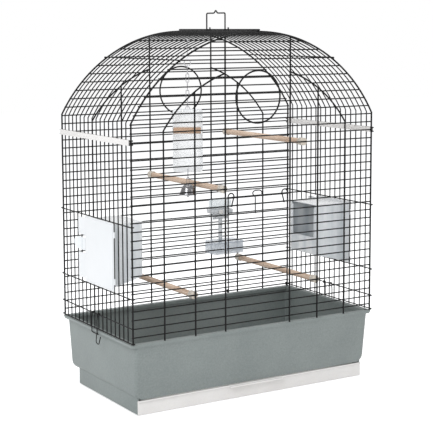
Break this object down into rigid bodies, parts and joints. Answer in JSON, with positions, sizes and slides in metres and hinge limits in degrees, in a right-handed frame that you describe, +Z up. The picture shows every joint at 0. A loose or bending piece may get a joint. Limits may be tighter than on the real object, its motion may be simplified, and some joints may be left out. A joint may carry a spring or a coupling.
{
  "type": "bird cage",
  "caption": "Arched wire bird cage on a plastic base, with a pull-out drawer, drop-down door, swing-out feeders, perches, drinker, hanging mirror toy and bail handle.",
  "frame": {"origin": "centre of the footprint on the floor, under the feet", "axes": "+Z up, -Y towards the door side, +X to the right seen from the door side"},
  "size_m": [0.5988, 0.326, 0.7978],
  "materials": {
    "black_wire": "black powder coat",
    "grey_plastic": "fine grained",
    "white_plastic": "smooth",
    "pale_plastic": "smooth, slightly cloudy",
    "clear_plastic": "smooth, cloudy",
    "water_plastic": "clear, bluish",
    "wood": "bare",
    "cap_plastic": "smooth",
    "chrome": "bright plated",
    "mirror_plastic": "glossy",
    "dark_rubber": "matt"
  },
  "bodies": {
    "cage": {"back_panel": "black_wire", "drinker_hanger": "pale_plastic", "drinker_knob": "white_plastic", "drinker_reservoir": "water_plastic", "drinker_trough": "water_plastic", "foot_back_left": "dark_rubber", "foot_back_right": "dark_rubber", "foot_front_left": "dark_rubber", "foot_front_right": "dark_rubber", "front_panel": "black_wire", "left_cover_strip": "white_plastic", "left_side_panel": "black_wire", "perch_lower_left": "wood", "perch_lower_left_cap_back": "cap_plastic", "perch_lower_left_cap_front": "cap_plastic", "perch_lower_right": "wood", "perch_lower_right_cap_back": "cap_plastic", "perch_lower_right_cap_front": "cap_plastic", "perch_middle": "wood", "perch_middle_cap_back": "cap_plastic", "perch_middle_cap_front": "cap_plastic", "perch_upper_right": "wood", "perch_upper_right_cap_back": "cap_plastic", "perch_upper_right_cap_front": "cap_plastic", "ridge_rod": "black_wire", "right_cover_strip": "white_plastic", "right_side_panel": "black_wire", "roof_panel": "black_wire", "tray": "grey_plastic"},
    "drawer": {"drawer": "white_plastic"},
    "front_door": {"front_door": "black_wire"},
    "left_feeder": {"left_feeder_hopper": "clear_plastic", "left_feeder_lid": "mirror_plastic", "left_feeder_plate": "pale_plastic", "left_feeder_tongue": "clear_plastic"},
    "right_feeder": {"right_feeder_hopper": "clear_plastic", "right_feeder_lid": "mirror_plastic", "right_feeder_plate": "pale_plastic", "right_feeder_tongue": "clear_plastic"},
    "left_latch": {"left_latch": "black_wire"},
    "right_latch": {"right_latch": "black_wire"},
    "carry_handle": {"carry_handle": "black_wire"},
    "toy_chain": {"toy_hook": "chrome", "toy_ring": "chrome", "toy_link_1": "chrome", "toy_link_2": "chrome", "toy_link_3": "chrome", "toy_link_4": "chrome", "toy_link_5": "chrome"},
    "toy_mirror": {"toy_mirror": "mirror_plastic", "toy_bar": "wood", "toy_bell_link": "chrome"},
    "toy_bell": {"toy_bell": "chrome"},
    "toy_clapper": {"toy_clapper": "chrome"}
  },
  "joints": [
    {"name": "drawer_slide", "type": "slide", "parent": "cage", "child": "drawer", "axis": [0, -1, 0], "range_m": [0, 0.2]},
    {"name": "door_hinge", "type": "hinge", "parent": "cage", "child": "front_door", "pos_m": [0, -0.1554, 0.2301], "axis": [1, 0, 0], "range_deg": [0, 165]},
    {"name": "left_feeder_hinge", "type": "hinge", "parent": "cage", "child": "left_feeder", "pos_m": [-0.2912, -0.08325, 0.3085], "axis": [0, 0, 1], "range_deg": [0, 90]},
    {"name": "right_feeder_hinge", "type": "hinge", "parent": "cage", "child": "right_feeder", "pos_m": [0.2912, -0.08325, 0.3085], "axis": [0, 0, -1], "range_deg": [0, 90]},
    {"name": "left_latch_hinge", "type": "hinge", "parent": "cage", "child": "left_latch", "pos_m": [-0.2929, 0, 0.18], "axis": [0, 1, 0], "range_deg": [0, 150]},
    {"name": "right_latch_hinge", "type": "hinge", "parent": "cage", "child": "right_latch", "pos_m": [0.2929, 0, 0.18], "axis": [0, -1, 0], "range_deg": [0, 150]},
    {"name": "handle_hinge", "type": "hinge", "parent": "cage", "child": "carry_handle", "pos_m": [0, 0, 0.75515], "axis": [0, 1, 0], "range_deg": [-85, 85]},
    {"name": "toy_swing", "type": "hinge", "parent": "cage", "child": "toy_chain", "pos_m": [-0.1114, -0.06475, 0.73286], "axis": [1, 0, 0], "range_deg": [-10, 10]},
    {"name": "toy_spin", "type": "hinge", "parent": "toy_chain", "child": "toy_mirror", "pos_m": [-0.1114, -0.06475, 0.60049], "axis": [0, 0, 1], "range_deg": [-45, 45]},
    {"name": "bell_swing", "type": "hinge", "parent": "toy_mirror", "child": "toy_bell", "pos_m": [-0.1114, -0.06475, 0.45326], "axis": [0.8192, -0.5736, 0], "range_deg": [-15, 15]},
    {"name": "clapper_swing", "type": "hinge", "parent": "toy_bell", "child": "toy_clapper", "pos_m": [-0.1114, -0.06475, 0.43956], "axis": [0.8192, -0.5736, 0], "range_deg": [-12, 12]}
  ]
}
